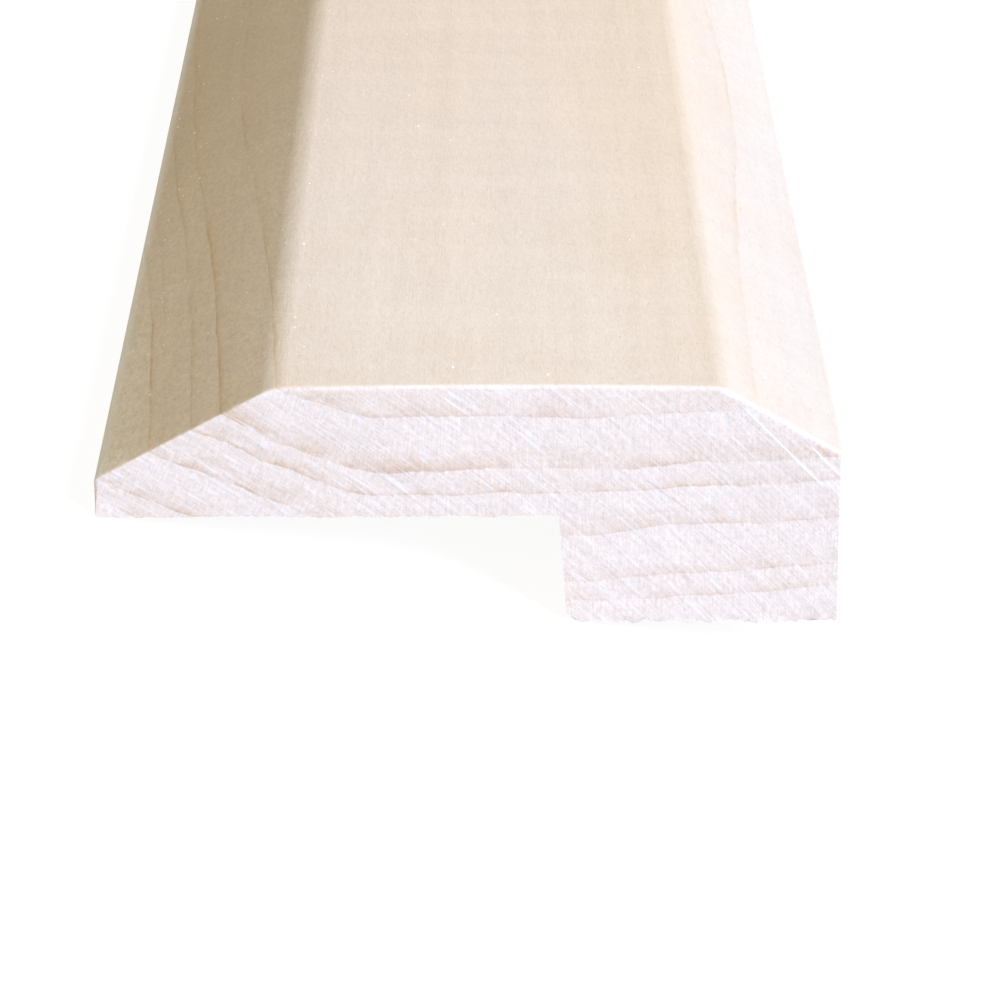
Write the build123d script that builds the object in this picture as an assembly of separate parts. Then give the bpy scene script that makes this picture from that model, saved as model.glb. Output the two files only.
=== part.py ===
from build123d import *
import os
from math import asin, atan2, degrees, hypot

# Wood threshold moulding: one length of planed maple with a lip, a rabbet and a foot.
# The section is drawn level, from the nose's plane (x = 0) and the foot's base (z = 0),
# drawn out along Y, and then laid as it rests on a floor: on the nose and on the foot.

# Overall size, in millimetres
WIDTH = 54.0
HEIGHT = 19.05
LENGTH = 914.4

# Walking surface between the two bevels
LEFT_BEVEL_RUN = 13.0
RIGHT_BEVEL_RUN = 8.9
RIGHT_BEVEL_DROP = 5.3
CROWN_RISE = 0.16

# Lip over the neighbouring floor, and the foot that stands beside it
RABBET_HEIGHT = 8.65
NOSE_HEIGHT = 3.05
FOOT_BASE_WIDTH = 19.8
FOOT_WALL_LEAN = 0.67

# Radii of the eased arrises
LEFT_BEVEL_EASE = 4.0
RIGHT_BEVEL_EASE = 2.2
NOSE_TOP_EASE = 0.5
NOSE_BOTTOM_EASE = 0.3
BACK_TOP_EASE = 0.6
BACK_BOTTOM_EASE = 0.35
FOOT_INNER_EASE = 0.4
RABBET_CORNER_EASE = 0.25

# Width of the small break that the saw and a light sanding leave round each cut end
END_EASE = 0.25


def corners():
    """The section's corners before they are eased, each as (x, z) under its own name."""
    foot_base_x = WIDTH - FOOT_BASE_WIDTH
    shoulder_z = HEIGHT - CROWN_RISE
    return {
        "nose_bottom": (0, RABBET_HEIGHT),
        "nose_top": (0, RABBET_HEIGHT + NOSE_HEIGHT),
        "top_left": (LEFT_BEVEL_RUN, shoulder_z),
        "top_right": (WIDTH - RIGHT_BEVEL_RUN, shoulder_z),
        "back_top": (WIDTH, shoulder_z - RIGHT_BEVEL_DROP),
        "back_bottom": (WIDTH, 0),
        "foot_inner": (foot_base_x, 0),
        "rabbet_corner": (foot_base_x - FOOT_WALL_LEAN, RABBET_HEIGHT),
    }


def outline():
    """The closed outline of the section, straight but for the crown of its top."""
    at = corners()
    crown_x = (at["top_left"][0] + at["top_right"][0]) / 2
    crown = ThreePointArc(at["top_left"], (crown_x, HEIGHT), at["top_right"])
    right_side = Polyline(
        at["top_right"],
        at["back_top"],
        at["back_bottom"],
        at["foot_inner"],
        at["rabbet_corner"],
        at["nose_bottom"],
        at["nose_top"],
        at["top_left"],
    )
    return make_face(crown + right_side)


def eased(face, corner, radius):
    """The section with one corner rounded to a radius."""
    nearest = face.vertices().sort_by_distance((*corner, 0))[0]
    return fillet(nearest, radius)


def section():
    """The moulded section with every arris eased to its own radius."""
    radii = {
        "nose_bottom": NOSE_BOTTOM_EASE,
        "nose_top": NOSE_TOP_EASE,
        "top_left": LEFT_BEVEL_EASE,
        "top_right": RIGHT_BEVEL_EASE,
        "back_top": BACK_TOP_EASE,
        "back_bottom": BACK_BOTTOM_EASE,
        "foot_inner": FOOT_INNER_EASE,
        "rabbet_corner": RABBET_CORNER_EASE,
    }
    at = corners()
    face = outline()
    for name, radius in radii.items():
        face = eased(face, at[name], radius)
    return face


def moulding():
    """The section drawn out along Y, level, with its two cut ends lightly broken."""
    bar = extrude(Plane.XZ * section(), amount=LENGTH / 2, both=True)
    ends = bar.faces().sort_by(Axis.Y)
    return chamfer(ends[0].edges() + ends[-1].edges(), END_EASE)


def rest_angle():
    """How far the moulding tips over its foot until the nose meets the floor, in radians.

    The foot's base ends beyond the centre of mass, so the moulding can't stand level on it.
    It rests on the eased arrises of the nose and of the foot's inner wall, and the floor is
    the line that touches both of these circles.
    """
    at = corners()
    lean = FOOT_WALL_LEAN / RABBET_HEIGHT
    nose_x = NOSE_BOTTOM_EASE
    nose_z = RABBET_HEIGHT + NOSE_BOTTOM_EASE
    foot_x = at["foot_inner"][0] + FOOT_INNER_EASE * (hypot(1, lean) - lean)
    foot_z = FOOT_INNER_EASE
    across = foot_x - nose_x
    down = nose_z - foot_z
    apart = hypot(across, down)
    return atan2(down, across) + asin((FOOT_INNER_EASE - NOSE_BOTTOM_EASE) / apart)


def threshold():
    """The moulding as it rests, with the origin under the middle of its bounding box."""
    bar = Rot(0, -degrees(rest_angle()), 0) * moulding()
    box = bar.bounding_box(optimal=True)
    middle_x = (box.min.X + box.max.X) / 2
    middle_y = (box.min.Y + box.max.Y) / 2
    return Pos(-middle_x, -middle_y, -box.min.Z) * bar


os.makedirs("parts", exist_ok=True)
part = threshold()
part.label = "threshold"
export_step(part, "parts/threshold.step")
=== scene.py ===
from math import atan2, degrees, hypot, pi, radians, tan

import bmesh
import bpy
from mathutils import Matrix, Vector


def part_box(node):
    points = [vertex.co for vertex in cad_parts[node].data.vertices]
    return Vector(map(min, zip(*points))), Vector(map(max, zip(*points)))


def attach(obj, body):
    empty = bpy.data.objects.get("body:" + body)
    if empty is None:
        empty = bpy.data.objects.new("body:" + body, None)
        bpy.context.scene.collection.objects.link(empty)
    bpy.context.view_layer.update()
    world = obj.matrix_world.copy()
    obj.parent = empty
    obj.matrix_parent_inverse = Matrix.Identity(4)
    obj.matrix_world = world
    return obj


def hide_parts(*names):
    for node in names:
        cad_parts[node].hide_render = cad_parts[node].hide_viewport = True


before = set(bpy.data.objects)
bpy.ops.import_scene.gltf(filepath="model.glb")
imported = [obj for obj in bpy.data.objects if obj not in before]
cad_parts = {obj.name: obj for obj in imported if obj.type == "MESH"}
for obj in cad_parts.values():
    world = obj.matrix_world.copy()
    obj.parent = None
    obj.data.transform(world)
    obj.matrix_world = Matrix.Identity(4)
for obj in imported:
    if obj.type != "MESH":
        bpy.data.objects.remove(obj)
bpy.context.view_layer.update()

scene = bpy.context.scene
scene.view_settings.view_transform = "Standard"

# ---- The camera ----
# It looks down on the near cut end with the moulding's section level in the picture. The
# moulding itself rests tipped onto its nose, so the camera is tipped over by as much.
TIP = radians(14.17)
LOOK_DOWN = radians(26.08)
LOOK_ASIDE = radians(0.34)
CAMERA_PLACE = (-0.02894, -0.69703, 0.12188)
SENSOR_WIDTH = 36.0
FOCAL_LENGTH = 133.14
NEAREST_SEEN = 0.01
FARTHEST_SEEN = 60.0

camera_data = bpy.data.cameras.new("photograph_camera")
camera_data.sensor_width = SENSOR_WIDTH
camera_data.lens = FOCAL_LENGTH
camera_data.clip_start = NEAREST_SEEN
camera_data.clip_end = FARTHEST_SEEN
camera = bpy.data.objects.new("photograph_camera", camera_data)
scene.collection.objects.link(camera)
turned = (
    Matrix.Rotation(-TIP, 4, "Y")
    @ Matrix.Rotation(-LOOK_ASIDE, 4, "Z")
    @ Matrix.Rotation(pi / 2 - LOOK_DOWN, 4, "X")
)
camera.matrix_world = Matrix.Translation(CAMERA_PLACE) @ turned
scene.camera = camera

# ---- The floor and the light ----
# A floor and surroundings that show white, though the floor throws back little light and keeps
# a pale shadow of the moulding. One large soft lamp stands high to the right of the near end,
# a small warm one low to the left, and a weak one beyond the far end.
FLOOR_SIZE = 40.0
FLOOR_GREY = (0.42, 0.415, 0.405, 1)
SHADOW_GREY = (0.13, 0.13, 0.13, 1)
FLOOR_GLOW = 0.94
ROOM_COLOUR = (1.0, 0.99, 0.60, 1)
ROOM_STRENGTH = 0.160
WHITE = (1, 1, 1, 1)
LIT_PLACE = Vector((0, -0.38, 0.01))


def shader(tree, kind, colour, strength=None):
    """A plain shader of one colour, and of a strength where it gives light."""
    made = tree.nodes.new(kind)
    made.inputs["Color"].default_value = colour
    if strength is not None:
        made.inputs["Strength"].default_value = strength
    return made.outputs[0]


def show_and_light(tree, lighting, shown, kind):
    """Shows one shader to the camera and in gloss, while the other one lights the moulding."""
    ray = tree.nodes.new("ShaderNodeLightPath")
    looked_at = tree.nodes.new("ShaderNodeMath")
    looked_at.operation = "MAXIMUM"
    choose = tree.nodes.new("ShaderNodeMixShader")
    surface = tree.nodes.new(kind)
    tree.links.new(ray.outputs["Is Camera Ray"], looked_at.inputs[0])
    tree.links.new(ray.outputs["Is Glossy Ray"], looked_at.inputs[1])
    tree.links.new(looked_at.outputs[0], choose.inputs[0])
    tree.links.new(lighting, choose.inputs[1])
    tree.links.new(shown, choose.inputs[2])
    tree.links.new(choose.outputs[0], surface.inputs["Surface"])


bpy.ops.object.select_all(action="DESELECT")
bpy.ops.mesh.primitive_plane_add(size=FLOOR_SIZE, location=(0, 0, 0))
floor = bpy.context.object
floor.name = "floor"
floor_paint = bpy.data.materials.new("white_floor")
floor_paint.use_nodes = True
paint = floor_paint.node_tree
paint.nodes.clear()
matt = shader(paint, "ShaderNodeBsdfDiffuse", FLOOR_GREY)
shown = paint.nodes.new("ShaderNodeAddShader")
paint.links.new(shader(paint, "ShaderNodeBsdfDiffuse", SHADOW_GREY), shown.inputs[0])
paint.links.new(shader(paint, "ShaderNodeEmission", WHITE, FLOOR_GLOW), shown.inputs[1])
show_and_light(paint, matt, shown.outputs[0], "ShaderNodeOutputMaterial")
floor.data.materials.append(floor_paint)

world = bpy.data.worlds.new("white_surroundings")
scene.world = world
world.use_nodes = True
room = world.node_tree
room.nodes.clear()
room_light = shader(room, "ShaderNodeBackground", ROOM_COLOUR, ROOM_STRENGTH)
white_sight = shader(room, "ShaderNodeBackground", WHITE, 1.0)
show_and_light(room, room_light, white_sight, "ShaderNodeOutputWorld")


def soft_lamp(name, toward, distance, size, power, colour):
    """A square soft lamp that shines on the near part of the moulding from a direction."""
    lamp_data = bpy.data.lights.new(name, "AREA")
    lamp_data.shape = "SQUARE"
    lamp_data.size = size
    lamp_data.energy = power
    lamp_data.color = colour
    lamp = bpy.data.objects.new(name, lamp_data)
    scene.collection.objects.link(lamp)
    way = Vector(toward).normalized()
    facing = way.to_track_quat("Z", "Y").to_matrix().to_4x4()
    lamp.matrix_world = Matrix.Translation(LIT_PLACE + way * distance) @ facing
    lamp.visible_camera = False


soft_lamp(
    "side_lamp",
    toward=(0.64, -0.46, 0.70),
    distance=3.0,
    size=1.34,
    power=150,
    colour=(0.835, 0.938, 1.265),
)
soft_lamp(
    "left_lamp",
    toward=(-0.74, -0.60, 0.30),
    distance=1.1,
    size=0.5,
    power=2.1,
    colour=(1.58, 1.27, 0.60),
)
soft_lamp(
    "far_lamp",
    toward=(0.10, 0.97, 0.20),
    distance=2.4,
    size=1.0,
    power=6.2,
    colour=(1.10, 0.95, 0.86),
)

# ---- The threshold ----
# One planed length of pale maple. It is ripped from a board, moulded in one pass to a section
# with two bevels, a lip and a foot, lightly sanded, and cut to length with a mitre saw.
MM = 0.001
WIDTH = 54.0 * MM
LENGTH = 914.4 * MM
SHOULDER_HEIGHT = 18.89 * MM
CROWN_RISE = 0.16 * MM
LEFT_BEVEL_RUN = 13.0 * MM
RIGHT_BEVEL_RUN = 8.9 * MM
RIGHT_BEVEL_DROP = 5.3 * MM
RABBET_HEIGHT = 8.65 * MM
NOSE_HEIGHT = 3.05 * MM
FOOT_BASE_X = 34.2 * MM
FOOT_WALL_LEAN = 0.67 * MM
END_BREAK = 0.25 * MM
LEFT_BEVEL_EASE = 4.0 * MM
RIGHT_BEVEL_EASE = 2.2 * MM
NOSE_TOP_EASE = 0.5 * MM
NOSE_BOTTOM_EASE = 0.3 * MM
BACK_TOP_EASE = 0.6 * MM
BACK_BOTTOM_EASE = 0.35 * MM
FOOT_INNER_EASE = 0.4 * MM
RABBET_CORNER_EASE = 0.25 * MM
LEFT_BEVEL_DROP = SHOULDER_HEIGHT - RABBET_HEIGHT - NOSE_HEIGHT
RIGHT_ARRIS_X = WIDTH - RIGHT_BEVEL_RUN
NOSE_TOP = RABBET_HEIGHT + NOSE_HEIGHT
BACK_TOP = SHOULDER_HEIGHT - RIGHT_BEVEL_DROP
FOOT_TOP_X = FOOT_BASE_X - FOOT_WALL_LEAN

# Two places no further apart than this count as one
TOUCHING = 0.01 * MM

# The block that becomes the lip and the top, level, with its nose at x = 0 and its near end
# at y = 0
bpy.ops.object.select_all(action="DESELECT")
bpy.ops.mesh.primitive_cube_add(
    size=1,
    location=(WIDTH / 2, LENGTH / 2, (RABBET_HEIGHT + SHOULDER_HEIGHT) / 2),
    scale=(WIDTH, LENGTH, SHOULDER_HEIGHT - RABBET_HEIGHT),
)
moulding = bpy.context.object
moulding.name = "maple_moulding"
bpy.ops.object.transform_apply(location=True, rotation=True, scale=True)
bpy.ops.object.mode_set(mode="EDIT")


def pick(kind, test):
    """Selects only the faces, edges or vertices whose middle passes the test."""
    bpy.ops.mesh.select_mode(type=kind)
    bpy.ops.mesh.select_all(action="DESELECT")
    shape = bmesh.from_edit_mesh(moulding.data)
    for item in {"VERT": shape.verts, "EDGE": shape.edges, "FACE": shape.faces}[kind]:
        if kind == "VERT":
            middle = item.co
        elif kind == "EDGE":
            middle = (item.verts[0].co + item.verts[1].co) / 2
        else:
            middle = item.calc_center_bounds()
        if test(middle, item):
            item.select_set(True)
    shape.select_flush_mode()
    bmesh.update_edit_mesh(moulding.data)


def runs_along(edge):
    """True for an edge that runs the length of the moulding."""
    return abs(edge.verts[0].co.y - edge.verts[1].co.y) > LENGTH / 2


def cut(through, facing, remove=False):
    """Cuts what is selected with a plane, and can take away what is in front of it."""
    bpy.ops.mesh.bisect(
        plane_co=through,
        plane_no=facing,
        clear_outer=remove,
        use_fill=remove,
        threshold=0.00001 * MM,
    )


def cut_all(through, facing, remove=False):
    """Cuts the whole moulding with a plane."""
    bpy.ops.mesh.select_all(action="SELECT")
    cut(through, facing, remove)


# The foot: the right part of the underside is drawn down, and its inner wall leans a little
pick("FACE", lambda at, face: face.normal.z < -0.9)
cut((FOOT_TOP_X, 0, 0), (1, 0, 0))
pick("FACE", lambda at, face: face.normal.z < -0.9 and at.x > FOOT_TOP_X)
bpy.ops.mesh.extrude_region_move(TRANSFORM_OT_translate={"value": (0, 0, -RABBET_HEIGHT)})
pick("EDGE", lambda at, edge: runs_along(edge) and at.z < 1 * MM and at.x < FOOT_BASE_X)
bpy.ops.transform.translate(value=(FOOT_WALL_LEAN, 0, 0))

# The two bevels
cut_all((0, 0, NOSE_TOP), (-LEFT_BEVEL_DROP, 0, LEFT_BEVEL_RUN), remove=True)
cut_all((WIDTH, 0, BACK_TOP), (RIGHT_BEVEL_DROP, 0, RIGHT_BEVEL_RUN), remove=True)

# Each cut end and each side is one flat face again
bpy.ops.mesh.select_all(action="SELECT")
bpy.ops.mesh.dissolve_limited(angle_limit=radians(0.1))

# The slight crown of the top, in strips along the length
CROWN_STRIPS = 8
crown_middle = (LEFT_BEVEL_RUN + RIGHT_ARRIS_X) / 2
crown_half = (RIGHT_ARRIS_X - LEFT_BEVEL_RUN) / 2
strip_edges = [
    LEFT_BEVEL_RUN + strip * 2 * crown_half / CROWN_STRIPS for strip in range(1, CROWN_STRIPS)
]
for x in strip_edges:
    pick("FACE", lambda at, face: face.normal.z > 0.9999 and at.z > SHOULDER_HEIGHT - MM)
    cut((x, 0, 0), (1, 0, 0))
for x in strip_edges:
    rise = CROWN_RISE * (1 - ((x - crown_middle) / crown_half) ** 2)
    pick("EDGE", lambda at, edge: (
        runs_along(edge) and at.z > SHOULDER_HEIGHT - TOUCHING and abs(at.x - x) < TOUCHING
    ))
    bpy.ops.transform.translate(value=(0, 0, rise))


def ease(x, z, turn, radius, segments):
    """Rounds the arris at x, z, where the surface turns by an angle in degrees."""
    pick("EDGE", lambda at, edge: (
        runs_along(edge) and hypot(at.x - x, at.z - z) < 2 * TOUCHING
    ))
    bpy.ops.mesh.bevel(
        offset_type="OFFSET",
        offset=radius * tan(radians(turn) / 2),
        segments=segments,
        profile=0.5,
        affect="EDGES",
    )


left_slope = degrees(atan2(LEFT_BEVEL_DROP, LEFT_BEVEL_RUN))
right_slope = degrees(atan2(RIGHT_BEVEL_DROP, RIGHT_BEVEL_RUN))
wall_slope = degrees(atan2(FOOT_WALL_LEAN, RABBET_HEIGHT))
ease(LEFT_BEVEL_RUN, SHOULDER_HEIGHT, left_slope, LEFT_BEVEL_EASE, 8)
ease(RIGHT_ARRIS_X, SHOULDER_HEIGHT, right_slope, RIGHT_BEVEL_EASE, 8)
ease(0, NOSE_TOP, 90 - left_slope, NOSE_TOP_EASE, 4)
ease(0, RABBET_HEIGHT, 90, NOSE_BOTTOM_EASE, 4)
ease(WIDTH, BACK_TOP, 90 - right_slope, BACK_TOP_EASE, 5)
ease(WIDTH, 0, 90, BACK_BOTTOM_EASE, 4)
ease(FOOT_BASE_X, 0, 90 - wall_slope, FOOT_INNER_EASE, 4)
ease(FOOT_TOP_X, RABBET_HEIGHT, 90 - wall_slope, RABBET_CORNER_EASE, 3)


def round_a_cut_end(at, edge):
    """True for the edges of a cut end over the nose, the bevels, the top and the back."""
    at_end = at.y < TOUCHING or at.y > LENGTH - TOUCHING
    over_lip = at.z > RABBET_HEIGHT + NOSE_BOTTOM_EASE
    return at_end and not runs_along(edge) and (over_lip or at.x > WIDTH - TOUCHING)


# The small break of each cut end. The lower arrises are left as the saw leaves them.
pick("EDGE", round_a_cut_end)
bpy.ops.mesh.bevel(
    offset_type="OFFSET", offset=END_BREAK, segments=2, profile=0.5, affect="EDGES"
)

# Where the tipped moulding goes: its box takes the place of the one that it stands for
tipping = Matrix.Rotation(-TIP, 3, "Y")
tipped = [tipping @ v.co for v in bmesh.from_edit_mesh(moulding.data).verts]
tipped_low = Vector([min(corner[i] for corner in tipped) for i in range(3)])
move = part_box("threshold")[0] - tipped_low

# A finer net of faces: close together near the cut ends, wide apart along the rest
END_STEPS = (0.5 * MM, 1.0 * MM, 2.0 * MM, 3.5 * MM, 6.0 * MM, 10.0 * MM)
BAYS = 200
for step in END_STEPS:
    for y in (step, LENGTH - step):
        cut_all((0, y, 0), (0, 1, 0))
bay = (LENGTH - 2 * END_STEPS[-1]) / BAYS
for number in range(1, BAYS):
    cut_all((0, END_STEPS[-1] + number * bay, 0), (0, 1, 0))

NET = 0.25 * MM
NET_DEPTH = 2.0 * MM


def near_ends(at):
    """True close to either cut end."""
    return at.y < NET_DEPTH or at.y > LENGTH - NET_DEPTH


for number in range(1, int(WIDTH / NET)):
    pick("FACE", lambda at, face: near_ends(at) and abs(face.normal.x) < 0.99)
    cut((number * NET, 0, 0), (1, 0, 0))
for number in range(1, int((SHOULDER_HEIGHT + CROWN_RISE) / NET)):
    pick("FACE", lambda at, face: near_ends(at) and abs(face.normal.z) < 0.99)
    cut((0, 0, number * NET), (0, 0, 1))

# The saw broke out the foot's inner corner at the near end, over nearly two millimetres. The
# broken face runs through three places, and what stands out of it is pushed back in steps.
CHIP_ON_BASE = Vector((FOOT_BASE_X + 0.80 * MM, 0, 0))
CHIP_ON_WALL = Vector((FOOT_BASE_X - 0.06 * MM, 0, 0.78 * MM))
CHIP_AT_BACK = Vector((FOOT_BASE_X + 0.05 * MM, 1.8 * MM, 0))
CHIP_REACH, CHIP_TOP = 1.2 * MM, 1.3 * MM
PUSH = 0.04 * MM
PUSHES = 16
out_of_chip = (CHIP_ON_WALL - CHIP_ON_BASE).cross(CHIP_AT_BACK - CHIP_ON_BASE).normalized()


def by_chip(at):
    """True close to the foot's inner corner at the near end."""
    return at.x < FOOT_BASE_X + CHIP_REACH and at.z < CHIP_TOP and at.y < NET_DEPTH


pick("FACE", lambda at, face: by_chip(at))
cut(CHIP_ON_BASE, out_of_chip)
for step in range(PUSHES, 0, -1):
    pick("VERT", lambda at, vertex: (
        by_chip(at) and (at - CHIP_ON_BASE).dot(out_of_chip) > (step - 0.5) * PUSH
    ))
    bpy.ops.transform.translate(value=out_of_chip * -PUSH)
bpy.ops.mesh.select_all(action="DESELECT")
bpy.ops.object.mode_set(mode="OBJECT")


def tear(name, weight_at, grain_size, strength, direction):
    """Leaves part of an arris ragged: moves its fibres one way or the other, by a weight."""
    torn = moulding.vertex_groups.new(name=name)
    for vertex in moulding.data.vertices:
        weight = weight_at(vertex.co.x / MM, vertex.co.y / MM, vertex.co.z / MM)
        if weight > 0:
            torn.add([vertex.index], min(weight, 1.0), "REPLACE")
    tufts = bpy.data.textures.new(name, "CLOUDS")
    tufts.noise_scale = grain_size
    tufts.noise_depth = 2
    raise_fibres = moulding.modifiers.new(name, "DISPLACE")
    raise_fibres.texture = tufts
    raise_fibres.texture_coords = "LOCAL"
    raise_fibres.direction = direction
    raise_fibres.vertex_group = name
    raise_fibres.mid_level = 0.5
    raise_fibres.strength = strength
    bpy.ops.object.modifier_apply(modifier=name)
    moulding.vertex_groups.remove(moulding.vertex_groups[name])
    bpy.data.textures.remove(tufts)


# How far the ragged fibres reach up the cut end and back along the underside, in mm, and
# the parts of the near end across which they stand
FOOT_TEAR_UP, FOOT_TEAR_BACK = 0.5, 1.4
LIP_TEAR_UP, LIP_TEAR_BACK = 0.45, 1.2
FOOT_TEAR_START, FOOT_TEAR_END = 33.9, 53.7
LIP_TEAR_END = 33.2


def dies_out(distance, reach):
    """Falls evenly from 1 to 0 over a reach."""
    return max(0, 1 - distance / reach)


def foot_arris(x, y, z):
    """Weight along the foot's lower arris at the near end, in mm."""
    weight = dies_out(z, FOOT_TEAR_UP) * dies_out(y, FOOT_TEAR_BACK)
    return weight if FOOT_TEAR_START < x < FOOT_TEAR_END else 0


def lip_arris(x, y, z):
    """Weight along the lower arris of the lip at the near end, in mm."""
    from_arris = abs(z - RABBET_HEIGHT / MM)
    weight = dies_out(from_arris, LIP_TEAR_UP) * dies_out(y, LIP_TEAR_BACK)
    return weight if x < LIP_TEAR_END else 0


def far_arris(x, y, z):
    """Weight along the lower arrises of the far end, in mm."""
    from_arris = min(z, abs(z - RABBET_HEIGHT / MM))
    return dies_out(from_arris, LIP_TEAR_UP) * dies_out(LENGTH / MM - y, LIP_TEAR_BACK)


tear("torn_foot_down", foot_arris, 0.9 * MM, 1.10 * MM, "Z")
tear("torn_foot_out", foot_arris, 0.7 * MM, 0.40 * MM, "Y")
tear("torn_lip", lip_arris, 0.7 * MM, 0.34 * MM, "Z")
tear("torn_far_end", far_arris, 0.8 * MM, 0.36 * MM, "Z")

# Places that the cuts left on top of each other become one. Then the moulding is tipped onto
# its nose and set where it rests.
bpy.ops.object.mode_set(mode="EDIT")
bpy.ops.mesh.select_all(action="SELECT")
bpy.ops.mesh.remove_doubles(threshold=0.003 * MM)
bpy.ops.mesh.select_all(action="SELECT")
bpy.ops.transform.rotate(value=TIP, orient_axis="Y", center_override=(0, 0, 0))
bpy.ops.transform.translate(value=move)
bpy.ops.mesh.normals_make_consistent(inside=False)
bpy.ops.object.mode_set(mode="OBJECT")
bpy.ops.object.shade_smooth_by_angle(angle=radians(32))

# The maple's grain. Places are read in mm from the section's own corner: x across from the
# nose, y back from the near cut end and z up from the foot's base, before the moulding was
# tipped.
maple = bpy.data.materials.new("maple_grain")
maple.use_nodes = True
grain = maple.node_tree
grain.nodes.clear()


def feed(socket, value):
    """Gives a socket a number or colour, or the output of another node."""
    if isinstance(value, bpy.types.NodeSocket):
        grain.links.new(value, socket)
    else:
        socket.default_value = value


def calc(operation, *values, clamp=False):
    """One step of arithmetic."""
    step = grain.nodes.new("ShaderNodeMath")
    step.operation = operation
    step.use_clamp = clamp
    for socket, value in zip(step.inputs, values):
        feed(socket, value)
    return step.outputs[0]


def plus(first, *others):
    """All the values added up."""
    for value in others:
        first = calc("ADD", first, value)
    return first


def minus(first, second):
    """The first value less the second."""
    return calc("SUBTRACT", first, second)


def times(first, *others):
    """All the values multiplied together."""
    for value in others:
        first = calc("MULTIPLY", first, value)
    return first


def apart(value, middle):
    """How far a value lies from a middle one, on either side."""
    return calc("ABSOLUTE", minus(value, middle))


def either_way(blotch, strength):
    """A blotch about 0.5 made a change up or down, as large as the strength says."""
    return times(minus(blotch, 0.5), strength)


def fade(value, start, end, low=0.0, high=1.0):
    """Goes smoothly from low to high while the value goes from start to end."""
    step = grain.nodes.new("ShaderNodeMapRange")
    step.interpolation_type = "SMOOTHSTEP"
    for socket, number in zip(step.inputs, (value, start, end, low, high)):
        feed(socket, number)
    return step.outputs[0]


def place(x, y, z):
    """A place put together from three numbers."""
    step = grain.nodes.new("ShaderNodeCombineXYZ")
    for socket, value in zip(step.inputs, (x, y, z)):
        feed(socket, value)
    return step.outputs[0]


def blotches(at, sizes, detail=1.0, roughness=0.5):
    """Random shading about 0.5, in blotches of these sizes in mm across, along and up."""
    scaled = grain.nodes.new("ShaderNodeVectorMath")
    scaled.operation = "MULTIPLY"
    feed(scaled.inputs[0], at)
    feed(scaled.inputs[1], [1 / size for size in sizes])
    noise = grain.nodes.new("ShaderNodeTexNoise")
    feed(noise.inputs["Vector"], scaled.outputs[0])
    feed(noise.inputs["Scale"], 1.0)
    feed(noise.inputs["Detail"], detail)
    feed(noise.inputs["Roughness"], roughness)
    return noise.outputs["Fac"]


def tint(amount, first, second):
    """The first colour or height, with as much of the second laid over it."""
    mix = grain.nodes.new("ShaderNodeMix")
    mix.data_type = "RGBA"
    feed(mix.inputs[0], amount)
    feed(mix.inputs[6], first)
    feed(mix.inputs[7], second)
    return mix.outputs[2]


def shade_by(colour, amount):
    """The colour made lighter or darker by a factor."""
    scaled = grain.nodes.new("ShaderNodeVectorMath")
    scaled.operation = "SCALE"
    feed(scaled.inputs[0], colour)
    feed(scaled.inputs["Scale"], amount)
    return scaled.outputs[0]


object_place = grain.nodes.new("ShaderNodeTexCoord")
levelled = grain.nodes.new("ShaderNodeMapping")
levelled.inputs["Scale"].default_value = (1 / MM, 1 / MM, 1 / MM)
levelled.inputs["Rotation"].default_value = (0, TIP, 0)
levelled.inputs["Location"].default_value = Matrix.Rotation(TIP, 3, "Y") @ move * (-1 / MM)
grain.links.new(object_place.outputs["Object"], levelled.inputs["Vector"])
here = levelled.outputs["Vector"]
split = grain.nodes.new("ShaderNodeSeparateXYZ")
grain.links.new(here, split.inputs[0])
x, y, z = split.outputs
from_left_arris = minus(x, LEFT_BEVEL_RUN / MM)
from_right_arris = minus(x, RIGHT_ARRIS_X / MM)

# The growth rings lie nearly flat under the right part of the top and climb to the left.
# Toward the far end the whole figure slides to the left and sinks a little, and later it
# comes back. It wavers along the length, wanders at random, and lifts a little in a knee
# below the left arris at the near end.
SLIDE, SLIDE_LENGTH = 23.0, 143.8
SINK = 0.14
WAVER, WAVER_LENGTH = -0.35, 14.3
FLAT_X, FLAT_SLOPE = 28.0, 0.061
CLIMB_X, CLIMB_SLOPE, CLIMB_BEND = 20.1, 0.2615, 32.0
KNEE_X, KNEE_LIFT = 17.0, 0.65

slide = times(calc("SINE", calc("DIVIDE", y, SLIDE_LENGTH)), SLIDE)
slid_x = plus(x, slide)
swing = minus(CLIMB_X, slid_x)
reach = calc("SQRT", plus(times(swing, swing), CLIMB_BEND))
climb = times(plus(reach, swing), CLIMB_SLOPE)
ring_shape = plus(climb, times(minus(slid_x, FLAT_X), FLAT_SLOPE))
ring_lean = minus(FLAT_SLOPE, times(plus(calc("DIVIDE", swing, reach), 1.0), CLIMB_SLOPE))
waver = times(calc("SINE", calc("DIVIDE", y, WAVER_LENGTH)), WAVER)
wander = plus(
    either_way(blotches(here, (11, 60, 11), 1.0), 1.6),
    either_way(blotches(here, (2.2, 12, 2.2), 2.0), 0.55),
    either_way(blotches(here, (0.5, 3.0, 0.5), 1.0), 0.16),
)
knee = times(fade(apart(x, KNEE_X), 8.0, 1.0), fade(y, 45.0, 5.0), KNEE_LIFT)
growth = plus(minus(plus(z, times(slide, SINK), waver), ring_shape), wander, knee)

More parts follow.
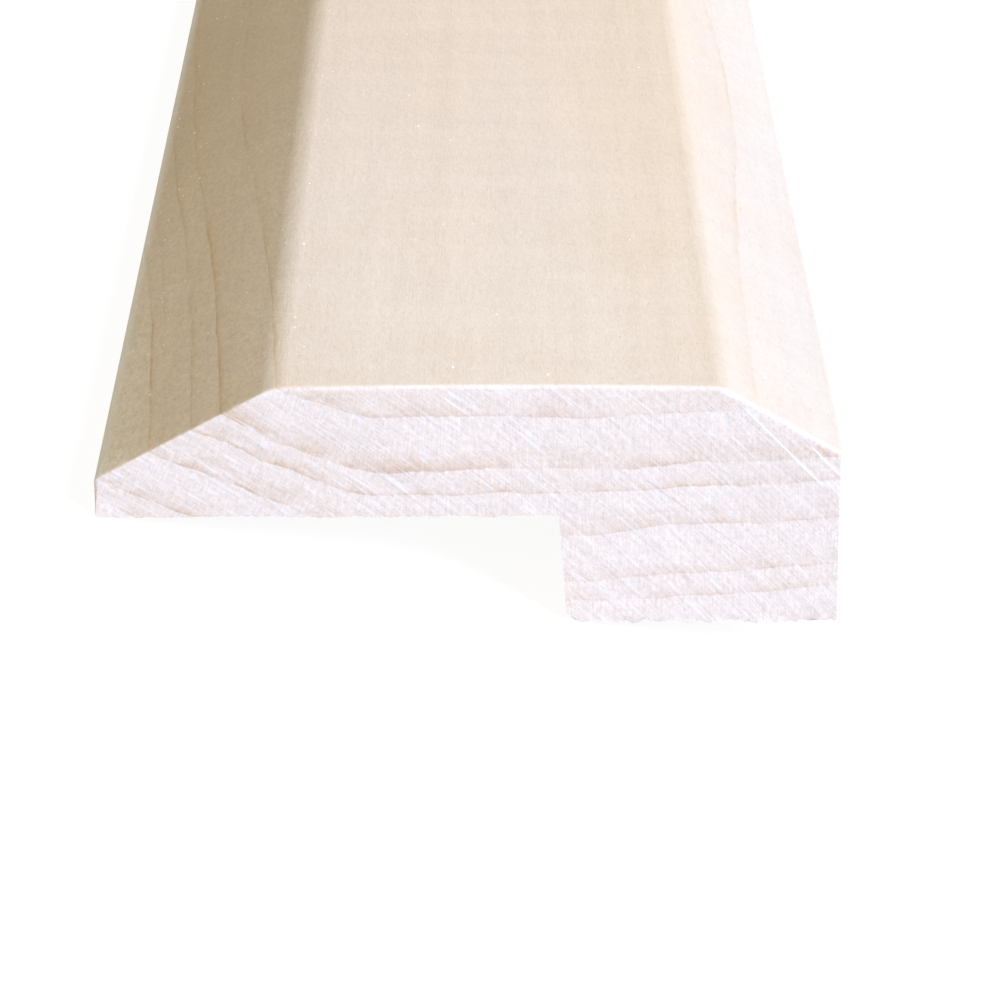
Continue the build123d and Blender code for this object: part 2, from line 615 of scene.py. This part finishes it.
# Each ring: its level, the strength of its dark line, the strength and depth of the shade
# above the line. The line is sharp below, where the next year's wood began.
RINGS = (
    (20.9, 0.25, 0.40, 1.3),
    (15.92, 0.35, 0.50, 1.6),
    (11.80, 0.45, 0.60, 1.3),
    (9.92, 0.56, 0.46, 0.9),
    (7.90, 0.16, 0.12, 0.5),
    (6.82, 0.44, 0.44, 1.1),
    (2.85, 0.38, 0.45, 0.9),
    (1.05, 0.38, 0.38, 0.8),
    (-2.2, 0.40, 0.38, 1.0),
    (-5.4, 0.45, 0.42, 1.0),
    (-7.0, 0.30, 0.30, 0.8),
    (-10.3, 0.45, 0.45, 1.2),
    (-13.1, 0.40, 0.38, 1.0),
    (-16.5, 0.40, 0.38, 1.0),
)
LINE_DEPTH = 0.15
ring_lines, ring_shades = 0.0, 0.0
for level, line, shade, depth in RINGS:
    above = minus(growth, level)
    up = calc("MAXIMUM", above, 0.0)
    begins = fade(above, -0.09, 0.03)
    line_part = times(calc("EXPONENT", times(up, -1 / LINE_DEPTH)), line, begins)
    shade_part = times(calc("EXPONENT", times(up, -1 / depth)), shade, begins)
    ring_lines = plus(ring_lines, line_part)
    ring_shades = plus(ring_shades, shade_part)
uneven = fade(blotches(here, (4.0, 30, 1.5), 2.0), 0.3, 0.7, 0.35, 1.35)
on_climb = fade(slid_x, 30.0, 14.0, 0.85, 1.3)
ring_strength = times(uneven, on_climb)
beaded = fade(blotches(here, (0.9, 2.2, 0.9), 1.0), 0.35, 0.65, 0.55, 1.3)
beaded_lines = times(ring_lines, beaded)


def figure(line_share, shade_share):
    """The rings with so much of their lines and so much of their shades."""
    both = plus(times(beaded_lines, line_share), times(ring_shades, shade_share))
    return calc("MINIMUM", times(both, ring_strength), 1.0)


# The planed wood before its grain: painted paler by the near end, as painted light where the
# lamps fall, deepening over the first tenth of a metre and turning partly paler again far
# along as a slow change of tone; painted shade on the left bevel further back, where that
# bevel faces away from the big lamp; paler by the nose at the near end; and painted cooler
# toward the back, as a painted cool sheen on the side that faces the big lamp
PALE_MAPLE = (0.850, 0.718, 0.570, 1)
DEEP_MAPLE = (0.804, 0.645, 0.480, 1)
LEFT_BEVEL_SHADE = (0.640, 0.500, 0.305, 1)
NOSE_PALE_MAPLE = (0.950, 0.850, 0.720, 1)
COOL_SHEEN_MAPLE = (0.822, 0.722, 0.598, 1)

left_side = fade(from_left_arris, 1.5, -2.0)
# Painted light: the wood is painted paler by the near end, where the lamps fall
painted_falloff_and_tone = times(fade(y, 0.0, 105.0), fade(y, 480.0, 240.0, 0.4, 1.0))
painted_falloff_and_tone = times(painted_falloff_and_tone, fade(from_right_arris, -0.1, 2.9, 1.0, 0.5))
# Painted shade: the left bevel, which faces away from the big lamp, is darker further back
painted_left_shade = times(left_side, fade(y, -10.0, 105.0), fade(y, 460.0, 230.0), 0.85)
paler_by_nose = times(fade(x, 5.0, 0.5), fade(y, 60.0, 5.0))
plain_wood = tint(painted_falloff_and_tone, PALE_MAPLE, DEEP_MAPLE)
plain_wood = tint(painted_left_shade, plain_wood, LEFT_BEVEL_SHADE)
plain_wood = tint(paler_by_nose, plain_wood, NOSE_PALE_MAPLE)
# Painted cool sheen on the right bevel and the back, which face the big lamp
plain_wood = tint(fade(from_right_arris, 0.9, 7.9), plain_wood, COOL_SHEEN_MAPLE)

# Long grain: the rings, a warm mottle with a warmer streak by the right arris, painted shade
# in a narrow band along the right arris, short dark flecks, a fine stipple that is strongest
# on the left bevel, fine fibres, slow streaks, a faint curl across the grain, and painted shade
# that darkens the right bevel and the back, which face the big lamp
RING_BROWN = (0.660, 0.440, 0.225, 1)
WARM_MAPLE_AND_SHADE = (0.800, 0.630, 0.425, 1)
FLECK_BROWN = (0.61, 0.43, 0.28, 1)
STIPPLE_BROWN = (0.700, 0.525, 0.330, 1)

fibres = blotches(here, (0.14, 5.0, 0.14), 2.0, 0.6)
streaks = blotches(here, (1.6, 70, 1.6), 2.0)
curl = blotches(here, (16, 3.2, 16), 2.0)
mottle = fade(blotches(here, (7, 11, 7), 2.0), 0.42, 0.72)
stipple = blotches(here, (0.46, 0.85, 0.46), 2.5, 0.9)
flecks = fade(blotches(here, (0.16, 0.9, 0.16), 1.0), 0.66, 0.74)
warm_streak = times(fade(apart(x, 42.0), 9.0, 0.0), fade(y, -60.0, 120.0))
warm_streak = times(warm_streak, fade(from_right_arris, 1.1, -0.2))
# Painted shade in a narrow band along the right arris, where its ease turns toward the lamp
painted_arris_shade = fade(apart(from_right_arris, -0.4), 1.3, 0.3, 0.0, 0.28)
stippled = times(fade(left_side, 0.0, 1.0, 0.95, 1.9), fade(stipple, 0.75, 0.25, 0.0, 0.15))
long_grain = tint(figure(1.15, 0.30), plain_wood, RING_BROWN)
long_grain = tint(plus(times(mottle, 0.22), times(warm_streak, 0.66)), long_grain, WARM_MAPLE_AND_SHADE)
long_grain = tint(painted_arris_shade, long_grain, WARM_MAPLE_AND_SHADE)
long_grain = tint(times(flecks, 0.30), long_grain, FLECK_BROWN)
long_grain = tint(stippled, long_grain, STIPPLE_BROWN)
lift = plus(
    1.0,
    either_way(fibres, 0.025),
    either_way(streaks, 0.10),
    either_way(curl, 0.09),
    either_way(stipple, fade(left_side, 0.0, 1.0, 0.14, 0.42)),
)
# Painted shade: the right bevel and the back, which face the big lamp, are made darker to hold
# back its light
lift = times(lift, fade(from_right_arris, -0.9, 0.1, 1.0, 0.918))
lift = times(lift, fade(from_right_arris, 0.7, 2.9, 1.0, 0.97))
long_grain = shade_by(long_grain, lift)

# A painted highlight leaves the rounded arris of the nose pale, where it would catch the light
NOSE_HIGHLIGHT_WHITE = (0.98, 0.97, 0.95, 1)
NOSE_HIGHLIGHT_WIDTH = 0.95
nose_highlight = calc("POWER", calc("SUBTRACT", 1.0, calc("DIVIDE", x, NOSE_HIGHLIGHT_WIDTH), clamp=True), 1.2)
nose_highlight = times(nose_highlight, fade(z, 10.6, 11.4, 0.0, 0.95))
long_grain = tint(nose_highlight, long_grain, NOSE_HIGHLIGHT_WHITE)

# Sanding dust: tiny bright specks, most of them near the nose and the left arris. Each cell
# of a fine pattern, drawn out along the length, can hold one speck.
DUST_WHITE = (0.97, 0.95, 0.91, 1)
CELLS_PER_MM, CELL_STRETCH = 2.2, 0.42
LEAST_DUSTY, MOST_DUSTY = 0.012, 0.50
dust_cells = grain.nodes.new("ShaderNodeTexVoronoi")
feed(dust_cells.inputs["Vector"], place(x, times(y, CELL_STRETCH), z))
feed(dust_cells.inputs["Scale"], CELLS_PER_MM)
picked = grain.nodes.new("ShaderNodeSeparateXYZ")
feed(picked.inputs[0], dust_cells.outputs["Color"])
near_nose = times(fade(x, 6.0, 1.5), fade(y, 130.0, 0.0, 0.15, 1.0))
near_arris = times(fade(apart(from_left_arris, 1.0), 2.5, 0.5), fade(y, 130.0, 0.0, 0.10, 0.45))
dusty = plus(LEAST_DUSTY, times(calc("MAXIMUM", near_nose, near_arris), MOST_DUSTY))
speck_size = plus(times(calc("POWER", picked.outputs[1], 2.0), 0.13), 0.08)
speck = fade(minus(dust_cells.outputs["Distance"], speck_size), 0.06, 0.01)
dust = times(speck, calc("LESS_THAN", picked.outputs[0], dusty))
long_grain = tint(dust, long_grain, DUST_WHITE)

# End grain: pores, and thin rays that stand square to the rings
END_MAPLE = (0.879, 0.785, 0.716, 1)
END_RING_BROWN = (0.722, 0.548, 0.422, 1)
CLOUD_BROWN = (0.820, 0.715, 0.625, 1)
RAY_MIDDLE_Z = 12.0

ray_across = plus(x, times(ring_lean, minus(z, RAY_MIDDLE_Z)))
rays = blotches(place(ray_across, y, growth), (0.13, 3.0, 1.6), 1.0)
pores = blotches(here, (0.42, 3.0, 0.42), 2.5, 0.9)
cloudy = blotches(here, (3.0, 30, 1.6), 2.0)

# The mitre saw's teeth leave fine arcs about the middle of the blade, low down to the left
SAW_LEFT, SAW_DOWN = 78.0, 112.0
saw_x, saw_z = plus(x, SAW_LEFT), plus(z, SAW_DOWN)
arc = calc("SQRT", plus(times(saw_x, saw_x), times(saw_z, saw_z)))
at_arc = place(arc, times(minus(x, z), 0.7), 0.0)
fine_kerfs = blotches(at_arc, (0.22, 4.0, 1.0), 2.0, 0.6)
broad_kerfs = blotches(at_arc, (0.75, 16.0, 1.0), 1.0)
bright_kerfs = times(
    fade(blotches(at_arc, (0.30, 4.5, 1.0), 1.5), 0.50, 0.74),
    fade(blotches(here, (1.2, 30, 1.2), 1.0), 0.35, 0.65, 0.3, 1.0),
)

end_grain = tint(figure(0.85, 1.12), END_MAPLE, END_RING_BROWN)
end_grain = tint(fade(cloudy, 0.42, 0.75, 0.0, 0.5), end_grain, CLOUD_BROWN)
lift = plus(
    1.0,
    either_way(rays, 0.26),
    either_way(pores, 0.54),
    either_way(fine_kerfs, 0.20),
    either_way(broad_kerfs, 0.12),
    either_way(cloudy, 0.04),
)
end_grain = shade_by(end_grain, times(lift, fade(x, 0.0, 34.0, 0.965, 1.0)))

# A few long scratches cross the near cut end
BRIGHT_SCRATCH = (0.96, 0.945, 0.955, 1)
DARK_SCRATCH = (0.60, 0.47, 0.46, 1)
SCRATCH_TIP = 0.8


def scratch(start, end, half_width):
    """One long scratch, from one place on the cut end to another in mm: 1 in its middle."""
    length = hypot(end[0] - start[0], end[1] - start[1])
    run, fall = (end[0] - start[0]) / length, (end[1] - start[1]) / length
    from_x, from_z = minus(x, start[0]), minus(z, start[1])
    along = plus(times(from_x, run), times(from_z, fall))
    aside = minus(times(from_z, run), times(from_x, fall))
    within = fade(apart(along, length / 2), length / 2, length / 2 - SCRATCH_TIP)
    return times(fade(calc("ABSOLUTE", aside), half_width, half_width * 0.3), within)


by_near_end = calc("LESS_THAN", y, 5.0)
bright = calc(
    "MAXIMUM",
    scratch((46.6, 17.3), (52.8, 10.8), 0.11),
    scratch((51.4, 14.4), (53.9, 11.7), 0.10),
)
bright = calc("MAXIMUM", bright, times(scratch((34.2, 4.2), (38.0, 1.9), 0.10), 0.5))
bright = calc("MAXIMUM", times(bright, by_near_end), times(bright_kerfs, 0.60))
dark = times(scratch((39.2, 12.0), (47.6, 5.4), 0.10), by_near_end, 0.28)
end_grain = tint(bright, end_grain, BRIGHT_SCRATCH)
end_grain = tint(dark, end_grain, DARK_SCRATCH)

# Where the end grain shows: on the two sawn faces, and over the little break round them
from_ends = calc("MINIMUM", y, minus(LENGTH / MM, y))
sawn = fade(from_ends, 0.24, 0.05)
wood_colour = tint(sawn, long_grain, end_grain)

# Relief too fine for the mesh: raised fibres and stipple, saw marks and pores
RELIEF_DEPTH = 0.06 * MM
RELIEF_STRENGTH = 0.6
coarse = blotches(here, (0.9, 1.8, 0.9), 1.0)
long_relief = plus(times(fibres, 0.2), times(stipple, 0.9), times(coarse, 0.6))
end_relief = plus(times(fine_kerfs, 0.45), times(broad_kerfs, 0.4), times(pores, 0.5))
bump = grain.nodes.new("ShaderNodeBump")
feed(bump.inputs["Strength"], RELIEF_STRENGTH)
feed(bump.inputs["Distance"], RELIEF_DEPTH)
feed(bump.inputs["Height"], tint(sawn, long_relief, end_relief))

wood = grain.nodes.new("ShaderNodeBsdfPrincipled")
feed(wood.inputs["Base Color"], wood_colour)
feed(wood.inputs["Roughness"], fade(plus(fibres, times(sawn, 0.6)), 0.3, 1.1, 0.46, 0.75))
feed(wood.inputs["IOR"], 1.45)
feed(wood.inputs["Specular IOR Level"], 0.12)
feed(wood.inputs["Sheen Weight"], 0.08)
feed(wood.inputs["Sheen Roughness"], 0.5)
feed(wood.inputs["Sheen Tint"], WHITE)
feed(wood.inputs["Normal"], bump.outputs["Normal"])
wood_out = grain.nodes.new("ShaderNodeOutputMaterial")
grain.links.new(wood.outputs[0], wood_out.inputs["Surface"])
moulding.data.materials.append(maple)
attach(moulding, "root")
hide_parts("threshold")
